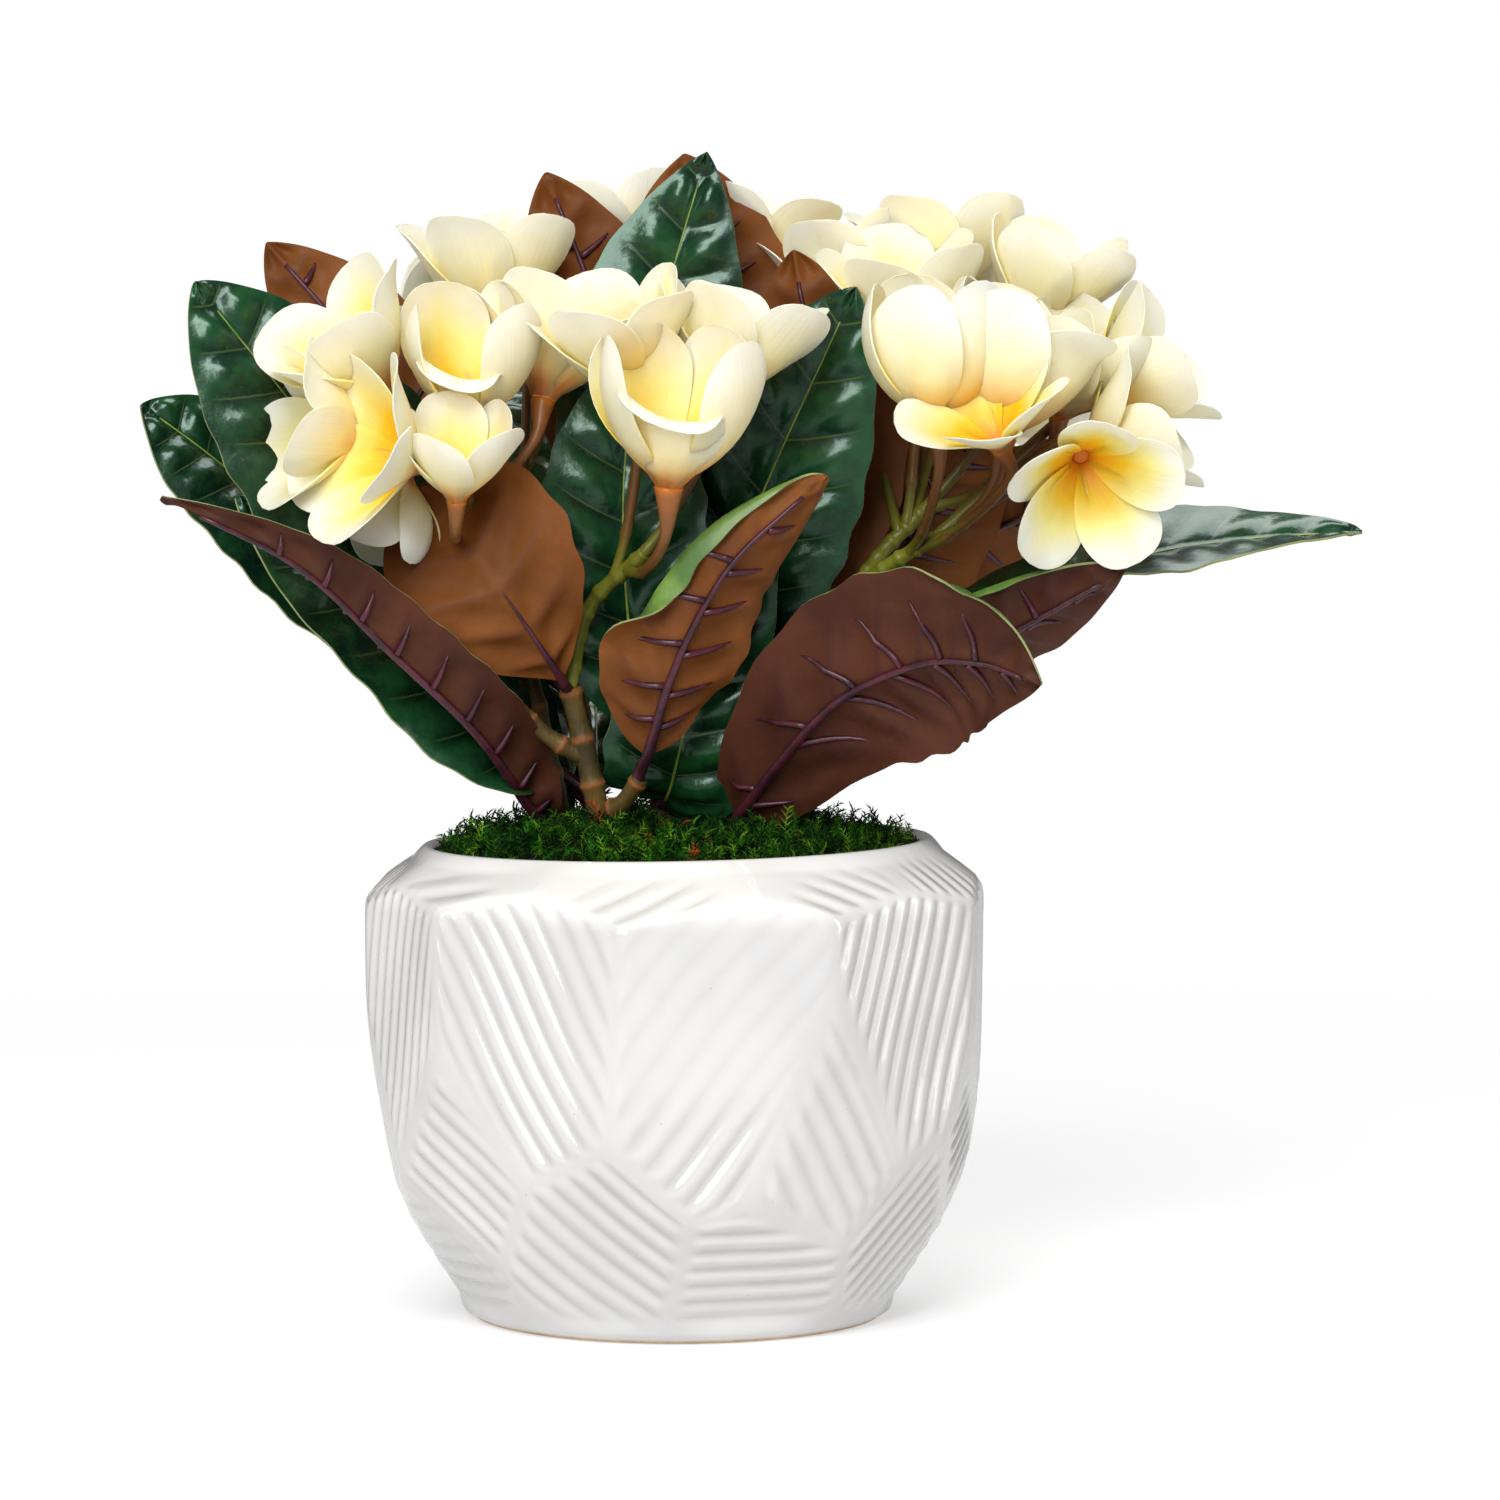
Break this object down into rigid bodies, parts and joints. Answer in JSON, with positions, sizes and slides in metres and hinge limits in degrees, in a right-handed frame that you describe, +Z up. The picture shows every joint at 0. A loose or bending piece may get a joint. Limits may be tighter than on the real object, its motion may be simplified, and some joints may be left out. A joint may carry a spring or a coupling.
{
  "type": "artificial potted frangipani",
  "caption": "Artificial frangipani arrangement: cream yellow-throated blooms and glossy brown-backed leaves on jointed stems, set in moss in a white ceramic planter with carved facets.",
  "frame": {"origin": "middle of the pot's flat underside", "axes": "+Z up, -Y towards the viewer of the picture, +X to the viewer's right"},
  "size_m": [0.485, 0.3313, 0.466],
  "materials": {
    "glaze": "warm white gloss glaze",
    "filling": "matt foam",
    "moss": "matt dried moss",
    "stem": "olive brown jointed stalk",
    "leaf_upper": "glossy dark green with a pale midrib",
    "leaf_under": "matt brown with purple ribs",
    "petal": "satin cream with a yellow throat"
  },
  "bodies": {
    "root": {"pot": "glaze", "front_stem": "stem", "centre_stem": "stem", "right_stem": "stem", "left_stem": "stem", "back_left_stem": "stem", "back_right_stem": "stem", "left_branch": "stem", "right_branch": "stem", "flowers_left": "petal", "flowers_centre": "petal", "flowers_right_front": "petal", "flowers_right_top": "petal", "flowers_back_left": "petal", "flowers_back_centre": "petal", "flowers_back_right": "petal", "leaf_left_long": "leaf_under", "leaf_left_inner": "leaf_upper", "leaf_left_low": "leaf_upper", "leaf_left_high": "leaf_upper", "leaf_left_back": "leaf_under", "leaf_front_brown": "leaf_under", "leaf_top": "leaf_upper", "leaf_top_back": "leaf_under", "leaf_top_left": "leaf_under", "leaf_right_high": "leaf_upper", "leaf_right_high_back": "leaf_under", "leaf_centre_brown": "leaf_under", "leaf_behind_stalks": "leaf_upper", "leaf_centre_low": "leaf_upper", "leaf_right_brown": "leaf_under", "leaf_right_dark": "leaf_under", "leaf_far_right": "leaf_upper", "leaf_far_right_back": "leaf_under", "leaf_right_inner": "leaf_under", "leaf_left_under": "leaf_upper", "leaf_back_1": "leaf_upper", "leaf_back_2": "leaf_upper", "leaf_back_3": "leaf_upper", "leaf_back_4": "leaf_upper", "leaf_back_5": "leaf_upper", "leaf_back_6": "leaf_upper", "leaf_back_7": "leaf_upper", "leaf_back_8": "leaf_upper", "leaf_back_9": "leaf_upper", "leaf_back_10": "leaf_upper", "pot_filling": "filling", "moss_bed": "moss"}
  },
  "joints": []
}
